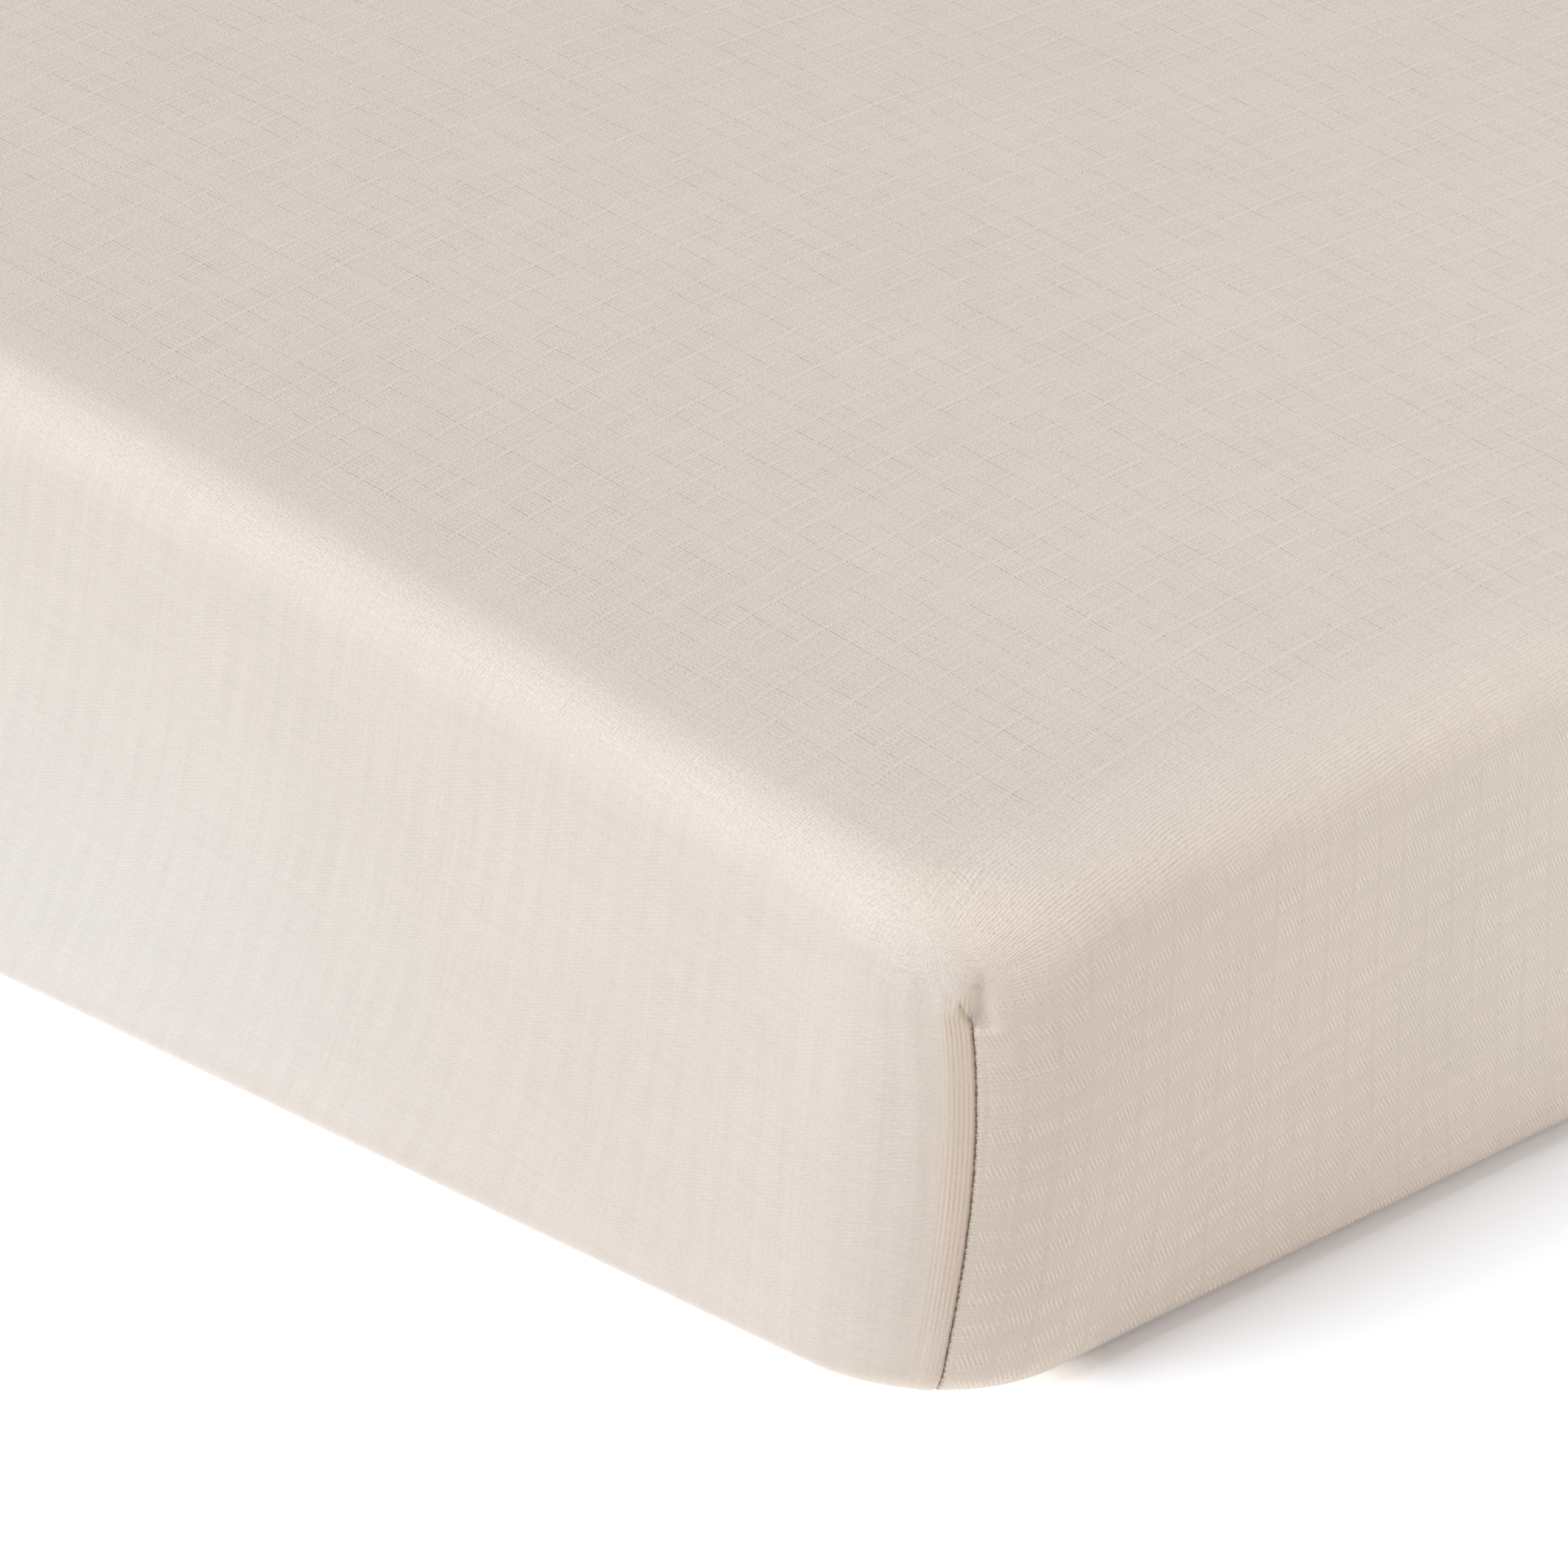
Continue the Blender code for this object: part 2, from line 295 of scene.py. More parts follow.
def skin_rows(depth, floor, top_radius, bottom_radius, rows, relieved):
    """Rows of points from the edge of the top down the side to the hem's opening.

    Returns the points and, for each, its distance down the cloth from the edge of the top.
    """
    place, normal = rounded_corner(line_runs, HALF_LENGTH, HALF_WIDTH, CORNER_RADIUS)
    fold = place - normal * (depth + top_radius)
    edge_height = top_height(*fold.T) - depth
    step = 0.001
    slope = top_height(*(fold - normal * step).T) - top_height(*(fold + normal * step).T)
    start = np.arctan2(slope, 2 * step)
    side_top = edge_height - top_radius
    base = floor + bottom_radius
    made = []
    arcs = []

    def add(inset, height, arc, below):
        shifted = line_runs
        relief = 0.0
        if relieved:
            shifted = line_runs + seam_bow(line_runs, below)
            relief = corner_relief(line_runs, below)
        point, outward = rounded_corner(shifted, HALF_LENGTH, HALF_WIDTH, CORNER_RADIUS)
        plan = (point - outward * (depth + inset - relief)[:, None]) * signs
        made.append(np.column_stack([plan, np.broadcast_to(height, count)]))
        arcs.append(np.broadcast_to(arc, count))

    for share in np.linspace(0.0, 1.0, rows["fold"] + 1):
        angle = start + share * (np.pi / 2 - start)
        below = -(np.pi / 2 - angle) * top_radius
        add(top_radius * (1 - np.sin(angle)), edge_height - top_radius * (1 - np.cos(angle)),
            (angle - start) * top_radius, below)
    fold_arc = arcs[-1]
    drop = side_top - base
    seam_rows = np.linspace(0.0, SEAM_TOP_REACH, rows["seam"] + 1)[1:]
    reach = seam_rows[-1] if rows["seam"] else 0.0
    lower = [reach + (drop - reach) * share for share in np.linspace(0.0, 1.0, rows["side"] + 2)[1:-1]]
    for below in [np.full(count, row) for row in seam_rows] + lower:
        swell = SIDE_BELLY * np.sin(np.pi * below / drop)
        add(-swell, side_top - below, fold_arc + below, below)
    for share in np.linspace(0.0, 1.0, rows["bottom"] + 1):
        angle = share * np.pi / 2
        arc = fold_arc + drop + bottom_radius * angle
        add(bottom_radius * (1 - math.cos(angle)) + np.zeros(count),
            floor + bottom_radius * (1 - math.sin(angle)), arc, arc - fold_arc)
    turn = made[-1][:, :2]
    under_arc = arcs[-1]
    own = np.where(line_runs > 0, end_half, long_half)
    hem = np.where(line_runs > 0, side_run(HALF_WIDTH - HEM_REACH, HEM_CORNER_RADIUS),
                   side_run(HALF_LENGTH - HEM_REACH, HEM_CORNER_RADIUS))
    opening, _ = rounded_corner(line_runs * hem / own, HALF_LENGTH - HEM_REACH,
                                HALF_WIDTH - HEM_REACH, HEM_CORNER_RADIUS)
    opening *= signs
    for share in np.linspace(0.0, 1.0, rows["hem"] + 1)[1:]:
        plan = turn + (opening - turn) * share
        made.append(np.column_stack([plan, np.full(count, floor)]))
        arcs.append(under_arc + np.linalg.norm(opening - turn, axis=1) * share)
    return np.array(made), np.array(arcs)


def top_rings(ring_count, depth):
    """Rings of points inside the edge of the top, from its rounded corners to square ones."""
    made = []
    radius = CORNER_RADIUS - TOP_FOLD_RADIUS
    own = np.where(line_runs > 0, end_half, long_half)
    for share in np.linspace(0.0, 1.0, ring_count + 1)[1:]:
        half_x = HALF_LENGTH - TOP_FOLD_RADIUS - TOP_RING_REACH * share
        half_y = HALF_WIDTH - TOP_FOLD_RADIUS - TOP_RING_REACH * share
        left = max(radius * (1 - share), 1e-6)
        ring_runs = line_runs / own * np.where(line_runs > 0, side_run(half_y, left), side_run(half_x, left))
        plan, _ = rounded_corner(ring_runs, half_x, half_y, left)
        plan *= signs
        made.append(np.column_stack([plan, top_height(*plan.T) - depth]))
    return np.array(made)


def share_along(steps):
    """Shares of a whole side at its lines, from one corner to the next."""
    first = steps / (2 * steps[-1])
    return np.concatenate([first, 1 - first[-2::-1]])


def top_inside(edge, depth):
    """Points inside the top, blended between the four sides of its edge."""
    edge = edge[:, :2]
    front = edge[:long_count + 1]
    right = edge[long_count:long_count + end_count + 1]
    back = edge[long_count + end_count:2 * long_count + end_count + 1][::-1]
    left = np.vstack([edge[2 * long_count + end_count:], edge[:1]])[::-1]
    u = share_along(long_steps)[None, :, None]
    v = share_along(end_steps)[:, None, None]
    sides = (1 - v) * front[None] + v * back[None] + (1 - u) * left[:, None] + u * right[:, None]
    corners = (1 - v) * ((1 - u) * front[0] + u * front[-1]) + v * ((1 - u) * back[0] + u * back[-1])
    plan = (sides - corners)[1:-1, 1:-1].reshape(-1, 2)
    return np.column_stack([plan, top_height(*plan.T) - depth])


def skin_faces(first, row_count):
    """Quads of one skin: its rows from the innermost ring of the top to the hem, then the top."""
    each_line = np.arange(count)
    next_line = (each_line + 1) % count
    faces = []
    for row in range(row_count - 1):
        upper = first + row * count
        lower = upper + count
        faces.append(np.column_stack([
            upper + each_line, lower + each_line, lower + next_line, upper + next_line]))
    grid = np.empty((end_count + 1, long_count + 1), int)
    grid[1:-1, 1:-1] = first + row_count * count + np.arange(
        (end_count - 1) * (long_count - 1)).reshape(end_count - 1, long_count - 1)
    grid[0] = first + np.arange(long_count + 1)
    grid[:, -1] = first + long_count + np.arange(end_count + 1)
    grid[-1] = first + 2 * long_count + end_count - np.arange(long_count + 1)
    grid[1:, 0] = first + (2 * long_count + 2 * end_count - np.arange(1, end_count + 1)) % count
    grid[0, 0] = first
    top = np.stack([grid[:-1, :-1], grid[:-1, 1:], grid[1:, 1:], grid[1:, :-1]], -1).reshape(-1, 4)
    return np.vstack(faces + [top])


OUTER_ROWS = {"fold": TOP_FOLD_ROWS, "seam": SEAM_TOP_ROWS, "side": SIDE_ROWS,
              "bottom": BOTTOM_FOLD_ROWS, "hem": HEM_ROWS}
INNER_ROWS = {"fold": 4, "seam": 0, "side": 4, "bottom": 3, "hem": 2}
outer, outer_arcs = skin_rows(0.0, 0.0, TOP_FOLD_RADIUS, BOTTOM_FOLD_RADIUS, OUTER_ROWS, True)
inner, _ = skin_rows(CLOTH_THICKNESS, CLOTH_THICKNESS, TOP_FOLD_RADIUS - CLOTH_THICKNESS,
                     BOTTOM_FOLD_RADIUS - CLOTH_THICKNESS, INNER_ROWS, False)
outer_rings = top_rings(TOP_RINGS, 0.0)
inner_rings = top_rings(TOP_RINGS, CLOTH_THICKNESS)
outer_side = np.concatenate([outer_rings[::-1], outer])
inner_side = np.concatenate([inner_rings[::-1], inner])
outer_top = top_inside(outer_side[0], 0.0)
inner_top = top_inside(inner_side[0], CLOTH_THICKNESS)
inner_first = outer_side.shape[0] * count + len(outer_top)
points = np.vstack([outer_side.reshape(-1, 3), outer_top, inner_side.reshape(-1, 3), inner_top])
outer_faces = skin_faces(0, outer_side.shape[0])
inner_faces = skin_faces(inner_first, inner_side.shape[0])[:, ::-1]
each_line = np.arange(count)
next_line = (each_line + 1) % count
outside = (outer_side.shape[0] - 1) * count
inside = inner_first + (inner_side.shape[0] - 1) * count
rim = np.column_stack([
    outside + each_line, inside + each_line, inside + next_line, outside + next_line])
faces = np.vstack([outer_faces, inner_faces, rim])

sheet_mesh = bpy.data.meshes.new("fitted_sheet_cloth")
sheet_mesh.from_pydata(points.tolist(), [], faces.tolist())
sheet_mesh.shade_smooth()
sheet_mesh.set_sharp_from_angle(angle=math.radians(60))


# Where each point lay in the flat cut, in the quadrant where both are positive
WEAVE_STRETCH_SIDE = 1.0
WEAVE_STRETCH_END = 1.02
DROOP_SIDE = 0.014   # how far the checks hang down at the corner, at the foot of the long side
DROOP_END = 0.0105
DROOP_REACH = 0.150
DROOP_INSIDE = 0.040  # the droop begins this far inside the top, and has this share at its edge
SHARE_AT_EDGE = 0.60
DRAW_TO_CORNER = 0.0137  # how far the long side's fold draws the threads towards the corner
DRAW_REACH = 0.183
LEAN = 5.5  # threads lean away from the corner by this much for each metre down
LEAN_START = 0.035
LEAN_REACH = 0.120
DRAW_FADE = 0.3  # both end at the middle of a side, and fade over these distances from it
LEAN_FADE = 0.1
OVERLAP = 0.008  # beyond it, the cloth beside a seam belongs to its own side alone

straight_x = HALF_LENGTH - CORNER_RADIUS
straight_y = HALF_WIDTH - CORNER_RADIUS
quarter = CORNER_RADIUS * math.pi / 4
edge_x = HALF_LENGTH - TOP_FOLD_RADIUS
edge_y = HALF_WIDTH - TOP_FOLD_RADIUS


def droop_share(inside):
    """Share of the droop at a distance inside the top's edge, or down the side if negative."""
    on_top = SHARE_AT_EDGE * np.clip(1 - inside / DROOP_INSIDE, 0.0, 1.0) ** 2
    down = SHARE_AT_EDGE + (1 - SHARE_AT_EDGE) * np.clip(-inside / CORNER_HEIGHT, 0.0, 1.0)
    return np.where(inside > 0, on_top, down)


def drawn_down(flat_x, flat_y):
    """Weave coordinates of the flat cut's points, after the cloth is drawn down at the corners."""
    inside_end = edge_x - flat_x
    inside_side = edge_y - flat_y
    down_side = np.maximum(-inside_side, 0.0)
    down_end = np.maximum(-inside_end, 0.0)
    from_side = np.maximum(straight_x + quarter - flat_x, 0.0)
    from_end = np.maximum(straight_y + quarter - flat_y, 0.0)
    droop_x = DROOP_END * np.exp(-from_end / DROOP_REACH) * droop_share(inside_end)
    droop_y = DROOP_SIDE * np.exp(-from_side / DROOP_REACH) * droop_share(inside_side)
    droop_x *= 1 - smooth((down_side - OVERLAP) / OVERLAP)
    droop_y *= 1 - smooth((down_end - OVERLAP) / OVERLAP)
    draw = (DRAW_TO_CORNER * np.clip(1 - inside_side / DRAW_REACH, 0, 1) ** 2
            * np.clip(flat_x / DRAW_FADE, 0, 1))
    lean_x = (LEAN / 2 * np.maximum(down_side - LEAN_START, 0.0) ** 2
              * smooth(inside_end / LEAN_REACH) * np.clip(flat_x / LEAN_FADE, 0, 1))
    lean_y = (LEAN / 2 * np.maximum(down_end - LEAN_START, 0.0) ** 2
              * smooth(inside_side / LEAN_REACH) * np.clip(flat_y / LEAN_FADE, 0, 1))
    return flat_x - droop_x - draw + lean_x, flat_y - droop_y + lean_y


def flat_places(edge, run, arc, seam_arc):
    """Flat places beside a corner, taken as part of the long side and as part of the end."""
    settled = smooth(arc / seam_arc)
    side = (edge[0] + (straight_x + quarter + run - edge[0]) * settled,
            edge[1] + (edge_y - edge[1]) * settled + arc / WEAVE_STRETCH_SIDE)
    end = (edge[0] + (edge_x - edge[0]) * settled + arc / WEAVE_STRETCH_END,
           edge[1] + (straight_y + quarter - run - edge[1]) * settled)
    # Above the seam the cloth is whole, so the two meet; below it they part at the seam
    spread = np.maximum(quarter * (1 - arc / seam_arc), 1e-5)
    to_end = smooth((run + spread) / (2 * spread))
    whole = arc < seam_arc
    blend = [a + (b - a) * to_end for a, b in zip(side, end)]
    side = [np.where(whole, both, own) for both, own in zip(blend, side)]
    end = [np.where(whole, both, own) for both, own in zip(blend, end)]
    return side, end


fold_arcs = outer_arcs[TOP_FOLD_ROWS]
seam_arc = fold_arcs[0] + SEAM_START
edge_plan = np.abs(outer[0][:, :2])
weave_side = np.empty((len(outer_arcs), count, 2))
weave_end = np.empty((len(outer_arcs), count, 2))
for row, arc in enumerate(outer_arcs):
    for weave, flat in zip((weave_side, weave_end), flat_places(edge_plan.T, line_runs, arc, seam_arc)):
        weave[row] = np.column_stack(drawn_down(*flat)) * signs


def weave_on_top(plan):
    """Weave coordinates of points on the top."""
    return np.column_stack(drawn_down(*np.abs(plan[:, :2]).T)) * np.sign(plan[:, :2])


# One map holds the weave's places, the other the distance from the seam and the depth below the fold
FAR_FROM_SEAM = 0.3
weave_rings = weave_on_top(outer_rings[::-1].reshape(-1, 3))
weave_top = weave_on_top(outer_top)
side_table = np.vstack([weave_rings, weave_side.reshape(-1, 2), weave_top])
end_table = np.vstack([weave_rings, weave_end.reshape(-1, 2), weave_top])
on_end = np.tile((line_runs + line_runs[next_line]) > 0, outer_side.shape[0] - 1)
on_end = np.concatenate([on_end, np.zeros(len(outer_faces) - len(on_end), bool)])
weave_loops = np.where(on_end[:, None, None], end_table[outer_faces], side_table[outer_faces])
below = outer_arcs - fold_arcs
ring_below = below[0] - TOP_RING_REACH * np.linspace(1.0, 0.0, TOP_RINGS + 1)[:-1, None]
corner_table = np.vstack([
    np.column_stack([np.tile(line_runs, outer_side.shape[0]), np.vstack([ring_below, below]).ravel()]),
    np.tile([[FAR_FROM_SEAM, -FAR_FROM_SEAM]], (len(outer_top), 1)),
])
corner_loops = corner_table[outer_faces]
spare = len(faces) - len(outer_faces)
plain = points[faces[len(outer_faces):]][:, :, :2]
for name, loops in (("weave", np.vstack([weave_loops, plain])),
                    ("corner", np.vstack([corner_loops, np.full((spare, 4, 2), FAR_FROM_SEAM)]))):
    layer = sheet_mesh.uv_layers.new(name=name)
    layer.data.foreach_set("uv", loops.astype(np.float32).ravel())
sheet = bpy.data.objects.new("fitted_sheet_cloth", sheet_mesh)
scene.collection.objects.link(sheet)

# Woven muslin: matt cotton gauze in small checks, of thin threads that wander a little, with a
# faint bloom of fibre ends. Between the checks a thicker thread stands up one way, and a fine open
# groove lies the other way. The gaps in the ground show as dark dashes, which run together to
# slanting strokes on the stretched sides. Their darkness is painted shade in the colour as well as bump.
CHECK_U_MM = 6.0
CHECK_V_MM = 7.3
THREAD_SAND = "#d5c9be"
GAP_SHADE = "#8d8276"
WANDER_MM = 1.6
WANDER_LENGTH_MM = 18.0
UNEVEN_LENGTH_MM = 9.0
GRAIN_MM = 0.55  # coarser than a cotton fibre, so that it shows
MOTTLE_LENGTH_MM = 45.0
STREAK_LENGTH_MM = 22.0
STREAK_WIDTH_MM = 0.9
RIDGE_HEIGHT = 0.011   # heights and depths in millimetres
GROOVE_DEPTH = 0.032
DASH_DEPTH = 0.034
PINHOLE_DEPTH = 0.020
FINE_THREAD_HEIGHT = 0.014
FOLD_THREAD_HEIGHT = 0.070
SIDE_FOLD_HEIGHT = 0.030
SIDE_STROKE_HEIGHT = 0.008
SIDE_COLUMN_HEIGHT = 0.005
END_STROKE_HEIGHT = 0.120
GRAIN_HEIGHT = 0.100
SIDE_GRAIN_HEIGHT = 0.045
FOLD_RUNS_ON = 0.010  # in metres, as are the zones below
PRESSED_THREAD_MM = 0.8
PRESSED_THREAD_HEIGHT = 0.035
SEAM_LINE_MM = 0.15
SEAM_NOTCH_MM = 1.1
SEAM_SHADE = "#8b7a68"
ALLOWANCE_TINT = "#faf5ef"

muslin, muslin_shader = new_finish("woven_cotton_muslin", roughness=0.95)
muslin_shader.inputs["Sheen Weight"].default_value = 0.06
muslin_shader.inputs["Sheen Roughness"].default_value = 0.6
tree = muslin.node_tree
weave_map = add_node(tree, "ShaderNodeUVMap", uv_map="weave")["UV"]
corner_map = add_node(tree, "ShaderNodeUVMap", uv_map="corner")["UV"]
wander = add_node(tree, "ShaderNodeTexNoise", {
    "Vector": weave_map, "Scale": 1000 / WANDER_LENGTH_MM, "Detail": 1.0,
}, noise_dimensions="2D")["Color"]
threads_at = add_node(tree, "ShaderNodeVectorMath", {
    0: wander, 1: (WANDER_MM / 1000, WANDER_MM / 1000, 0.0), 2: weave_map,
}, operation="MULTIPLY_ADD")["Vector"]
threads_at = add_node(tree, "ShaderNodeVectorMath", {
    0: threads_at, 1: (0.0, 0.0, 1.0),
}, operation="ADD")["Vector"]

# Each wave: how many to a check along u and along v, and where it peaks, in turns
waves = {}
for name, per_u, per_v, peak in (
    ("thick thread", 1, 0, 0.50),
    ("pinholes", 1, 0, 0.61),
    ("groove", 0, 1, 0.50),
    ("rows", 0, 7, 0.50),
    ("columns", 4, 0, 0.30),
    ("fine threads", 8, 0, 0.0),
    ("cross threads", 0, 12, 0.0),
    ("side strokes", 4, -10, 0.0),
    ("side columns", 1, 0, 0.40),
    ("end strokes", -3.3, 7.6, 0.0),
    ("end bands", 1, 0, 0.15),
):
    turns = (per_u * math.tau * 1000 / CHECK_U_MM, per_v * math.tau * 1000 / CHECK_V_MM, -peak * math.tau)
    phase = add_node(tree, "ShaderNodeVectorMath", {
        0: threads_at, 1: turns,
    }, operation="DOT_PRODUCT")["Value"]
    waves[name] = add_node(tree, "ShaderNodeMath", {0: phase}, operation="COSINE")[0]

# Threads, gaps and bands are the tops of their waves
tops = {}
for name, wave, start, lowest in (
    ("ridge", "thick thread", 0.84, 0.0),
    ("groove", "groove", 0.94, 0.0),
    ("pinholes", "pinholes", 0.90, 0.0),
    ("rows", "rows", -0.3, 0.0),
    ("columns", "columns", -1.0, 0.35),
    ("end bands", "end bands", -0.5, 0.25),
    ("end columns", "groove", 0.72, 0.0),
    ("end strokes", "end strokes", -0.4, 0.0),
    ("fine threads", "fine threads", -0.6, 0.0),
    ("cross threads", "cross threads", -0.6, 0.0),
):
    tops[name] = add_node(tree, "ShaderNodeMapRange", {
        "Value": waves[wave], "From Min": start, "To Min": lowest,
    }, interpolation_type="SMOOTHSTEP")["Result"]
off_ridge = add_node(tree, "ShaderNodeMath", {0: 1.0, 1: tops["ridge"]}, operation="SUBTRACT")[0]
off_columns = add_node(tree, "ShaderNodeMath", {0: 1.0, 1: tops["end columns"]}, operation="SUBTRACT")[0]
products = {}
for name, first, second in (
    ("groove", tops["groove"], off_ridge),
    ("pinholes", tops["pinholes"], tops["rows"]),
    ("ground", tops["columns"], off_ridge),
    ("end ground", tops["end bands"], off_columns),
):
    products[name] = add_node(tree, "ShaderNodeMath", {0: first, 1: second}, operation="MULTIPLY")[0]
dashes = add_node(tree, "ShaderNodeMath", {0: tops["rows"], 1: products["ground"]}, operation="MULTIPLY")[0]
end_strokes = add_node(tree, "ShaderNodeMath", {
    0: tops["end strokes"], 1: products["end ground"],
}, operation="MULTIPLY")[0]

# Heights of the cloth's surface: its checks on top, its threads along a fold, strokes on the sides
heights = {}
for name, parts in {
    "checks": ((tops["ridge"], RIDGE_HEIGHT), (products["groove"], -GROOVE_DEPTH), (dashes, -DASH_DEPTH),
               (products["pinholes"], -PINHOLE_DEPTH)),
    "end fold": ((tops["fine threads"], FOLD_THREAD_HEIGHT), (waves["cross threads"], FINE_THREAD_HEIGHT)),
    "side fold": ((tops["cross threads"], SIDE_FOLD_HEIGHT), (waves["fine threads"], FINE_THREAD_HEIGHT)),
    "side": ((waves["side strokes"], SIDE_STROKE_HEIGHT), (waves["side columns"], SIDE_COLUMN_HEIGHT)),
    "end": ((end_strokes, END_STROKE_HEIGHT), (waves["fine threads"], FINE_THREAD_HEIGHT)),
}.items():
    height = 0.0
    for signal, size in parts:
        height = add_node(tree, "ShaderNodeMath", {
            0: signal, 1: size, 2: height,
        }, operation="MULTIPLY_ADD")[0]
    heights[name] = height
from_seam = add_node(tree, "ShaderNodeSeparateXYZ", {"Vector": corner_map})
run = from_seam["X"]
depth = from_seam["Y"]
away = add_node(tree, "ShaderNodeMath", {0: run}, operation="ABSOLUTE")[0]
# The threads of the folds run on for a little below the fold at a corner
from_fold = add_node(tree, "ShaderNodeMapRange", {
    "Value": away, "From Min": 0.012, "From Max": 0.030, "To Min": -FOLD_RUNS_ON, "To Max": 0.0,
})["Result"]
from_fold = add_node(tree, "ShaderNodeMath", {0: from_fold, 1: depth}, operation="ADD")[0]
# Where each part of the cloth begins and ends, as runs from the seam and depths below the fold
zones = {}
for name, value, start, end in (
    ("end fold reach", run, 0.290, 0.060),
    ("at fold", depth, -0.040, -0.018),
    ("below fold", from_fold, -0.014, -0.002),
    ("towards end", run, -0.010, 0.010),
    ("end", run, -0.0005, 0.0005),
    ("seam start", depth, 0.0050, 0.0090),
    ("allowance top", depth, 0.0020, 0.0045),
    ("allowance foot", depth, 0.110, 0.030),
    ("allowance edge", run, -0.0056, -0.0049),
    ("allowance seam", run, 0.0, -0.0003),
):
    zones[name] = add_node(tree, "ShaderNodeMapRange", {
        "Value": value, "From Min": start, "From Max": end,
    }, interpolation_type="SMOOTHSTEP")["Result"]
folded = add_node(tree, "ShaderNodeMath", {
    0: zones["at fold"], 1: zones["end fold reach"],
}, operation="MULTIPLY")[0]
weave_height = heights["checks"]
for factor, near_side, near_end in ((folded, "side fold", "end fold"), (zones["below fold"], "side", "end")):
    zone = zones["towards end"] if near_end == "end fold" else zones["end"]
    other = add_node(tree, "ShaderNodeMix", {
        "Factor": zone, "A": heights[near_side], "B": heights[near_end],
    })["Result"]
    weave_height = add_node(tree, "ShaderNodeMix", {
        "Factor": factor, "A": weave_height, "B": other,
    })["Result"]

# The pressed seam allowance shows its threads alone
allowance = 1.0
for zone in ("allowance top", "allowance foot", "allowance edge", "allowance seam"):
    allowance = add_node(tree, "ShaderNodeMath", {0: allowance, 1: zones[zone]}, operation="MULTIPLY")[0]
pressed = add_node(tree, "ShaderNodeMath", {
    0: run, 1: math.tau * 1000 / PRESSED_THREAD_MM,
}, operation="MULTIPLY")[0]
pressed = add_node(tree, "ShaderNodeMath", {0: pressed}, operation="COSINE")[0]
pressed = add_node(tree, "ShaderNodeMath", {0: pressed, 1: PRESSED_THREAD_HEIGHT}, operation="MULTIPLY")[0]
weave_height = add_node(tree, "ShaderNodeMix", {
    "Factor": allowance, "A": weave_height, "B": pressed,
})["Result"]

# No two checks are quite alike, and the spun cotton has a grain
uneven = add_node(tree, "ShaderNodeTexNoise", {
    "Vector": weave_map, "Scale": 1000 / UNEVEN_LENGTH_MM, "Detail": 1.0,
}, noise_dimensions="2D")["Fac"]
uneven = add_node(tree, "ShaderNodeMapRange", {
    "Value": uneven, "From Min": 0.3, "From Max": 0.7, "To Min": 0.4, "To Max": 1.3,
})["Result"]
grain = add_node(tree, "ShaderNodeTexNoise", {
    "Vector": weave_map, "Scale": 1000 / GRAIN_MM, "Detail": 0.0,
}, noise_dimensions="2D")["Fac"]
grain_height = add_node(tree, "ShaderNodeMapRange", {
    "Value": zones["below fold"], "To Min": GRAIN_HEIGHT, "To Max": SIDE_GRAIN_HEIGHT,
})["Result"]
grain = add_node(tree, "ShaderNodeMath", {0: grain, 1: grain_height}, operation="MULTIPLY")[0]
weave_height = add_node(tree, "ShaderNodeMath", {
    0: weave_height, 1: uneven, 2: grain,
}, operation="MULTIPLY_ADD")[0]

# Painted shade: gaps are darker than threads, as the lower the weave's surface lies, the darker its
# colour, so grooves, dashes and strokes are shaded in the colour as well as by the bump. The cloth is also a
# little uneven in tone
painted_gap_shade = add_node(tree, "ShaderNodeMapRange", {
    "Value": weave_height, "From Min": 0.13, "From Max": -0.22,
})["Result"]
tone = add_node(tree, "ShaderNodeMix", {
    "Factor": painted_gap_shade, "A": linear(THREAD_SAND), "B": linear(GAP_SHADE),
}, data_type="RGBA")["Result"]
brightness = add_node(tree, "ShaderNodeTexNoise", {
    "Vector": weave_map, "Scale": 1000 / MOTTLE_LENGTH_MM, "Detail": 2.0,
}, noise_dimensions="2D")["Fac"]
for stretch in ((1000 / STREAK_LENGTH_MM, 1000 / STREAK_WIDTH_MM, 0.0),
                (1000 / STREAK_WIDTH_MM, 1000 / STREAK_LENGTH_MM, 0.0)):
    along = add_node(tree, "ShaderNodeVectorMath", {0: weave_map, 1: stretch}, operation="MULTIPLY")["Vector"]
    streak = add_node(tree, "ShaderNodeTexNoise", {
        "Vector": along, "Scale": 1.0, "Detail": 0.0,
    }, noise_dimensions="2D")["Fac"]
    brightness = add_node(tree, "ShaderNodeMath", {0: brightness, 1: streak}, operation="ADD")[0]
brightness = add_node(tree, "ShaderNodeMapRange", {
    "Value": brightness, "From Min": 0.9, "From Max": 2.1, "To Min": 0.97, "To Max": 1.03,
})["Result"]
tone = add_node(tree, "ShaderNodeMix", {
    "Factor": 1.0, "A": tone, "B": brightness,
}, data_type="RGBA", blend_type="MULTIPLY")["Result"]
tone = add_node(tree, "ShaderNodeMix", {
    "Factor": allowance, "A": tone, "B": linear(ALLOWANCE_TINT),
}, data_type="RGBA", blend_type="MULTIPLY")["Result"]
